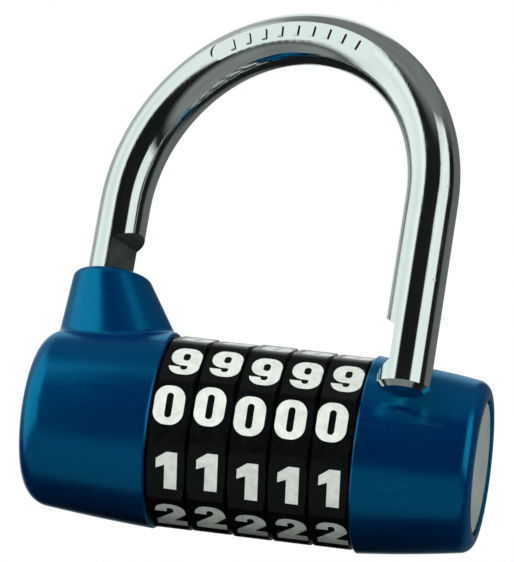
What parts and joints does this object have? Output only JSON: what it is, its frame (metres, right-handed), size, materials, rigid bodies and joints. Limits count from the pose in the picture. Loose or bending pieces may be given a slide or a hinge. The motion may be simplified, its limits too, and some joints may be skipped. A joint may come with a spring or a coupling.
{
  "type": "combination padlock",
  "caption": "Barrel-shaped combination padlock with number dials round a blue case and a swung-open chromed shackle.",
  "frame": {"origin": "on the case's axis at the middle of the dials", "axes": "+X along the case's axis towards the toe end, -Y towards the reader of the code, +Z the way the shackle rises"},
  "size_m": [0.0793, 0.0433, 0.0925],
  "materials": {
    "blue_paint": "metallic blue satin lacquer",
    "chromed_steel": "bright chrome plate",
    "black_dial": "satin moulded black",
    "white_numeral": "filled white figures",
    "brushed_disc": "dull brushed",
    "plain_steel": "bright zinc plate",
    "spring_steel": "hard drawn wire",
    "black_screw": "black oxide",
    "brass": "turned brass"
  },
  "bodies": {
    "case": {"heel_housing": "blue_paint", "toe_housing": "blue_paint", "end_disc": "brushed_disc", "core_tube": "plain_steel", "core_flange": "plain_steel", "assembly_screws": "black_screw", "spacer_washers": "plain_steel", "detent_springs": "spring_steel", "retaining_pin": "plain_steel", "spindle_spring": "spring_steel"},
    "spindle": {"spindle": "plain_steel", "locking_bolt": "plain_steel"},
    "shackle_carrier": {"heel_drag_ring": "spring_steel"},
    "shackle": {"shackle": "chromed_steel"},
    "dial_1": {"dial_1": "black_dial", "numerals_1": "white_numeral", "code_sleeve_1": "brass"},
    "dial_2": {"dial_2": "black_dial", "numerals_2": "white_numeral", "code_sleeve_2": "brass"},
    "dial_3": {"dial_3": "black_dial", "numerals_3": "white_numeral", "code_sleeve_3": "brass"},
    "dial_4": {"dial_4": "black_dial", "numerals_4": "white_numeral", "code_sleeve_4": "brass"},
    "dial_5": {"dial_5": "black_dial", "numerals_5": "white_numeral", "code_sleeve_5": "brass"}
  },
  "joints": [
    {"name": "dial_1_turn", "type": "hinge", "parent": "case", "child": "dial_1", "pos_m": [-0.01412, 0, 0], "axis": [1, 0, 0], "continuous": true},
    {"name": "dial_2_turn", "type": "hinge", "parent": "case", "child": "dial_2", "pos_m": [-0.00706, 0, 0], "axis": [1, 0, 0], "continuous": true},
    {"name": "dial_3_turn", "type": "hinge", "parent": "case", "child": "dial_3", "pos_m": [0, 0, 0], "axis": [1, 0, 0], "continuous": true},
    {"name": "dial_4_turn", "type": "hinge", "parent": "case", "child": "dial_4", "pos_m": [0.00706, 0, 0], "axis": [1, 0, 0], "continuous": true},
    {"name": "dial_5_turn", "type": "hinge", "parent": "case", "child": "dial_5", "pos_m": [0.01412, 0, 0], "axis": [1, 0, 0], "continuous": true},
    {"name": "spindle_slide", "type": "slide", "parent": "case", "child": "spindle", "axis": [1, 0, 0], "range_m": [-0.0031, 0], "stiffness_N_per_m": 500, "springref_m": 0.004, "deforming": ["spindle_spring"]},
    {"name": "shackle_lift", "type": "slide", "parent": "case", "child": "shackle_carrier", "axis": [0, 0, 1], "range_m": [0, 0.0108]},
    {"name": "shackle_swing", "type": "hinge", "parent": "shackle_carrier", "child": "shackle", "pos_m": [-0.03215, 0, 0], "axis": [0, 0, -1], "range_deg": [0, 319]}
  ]
}
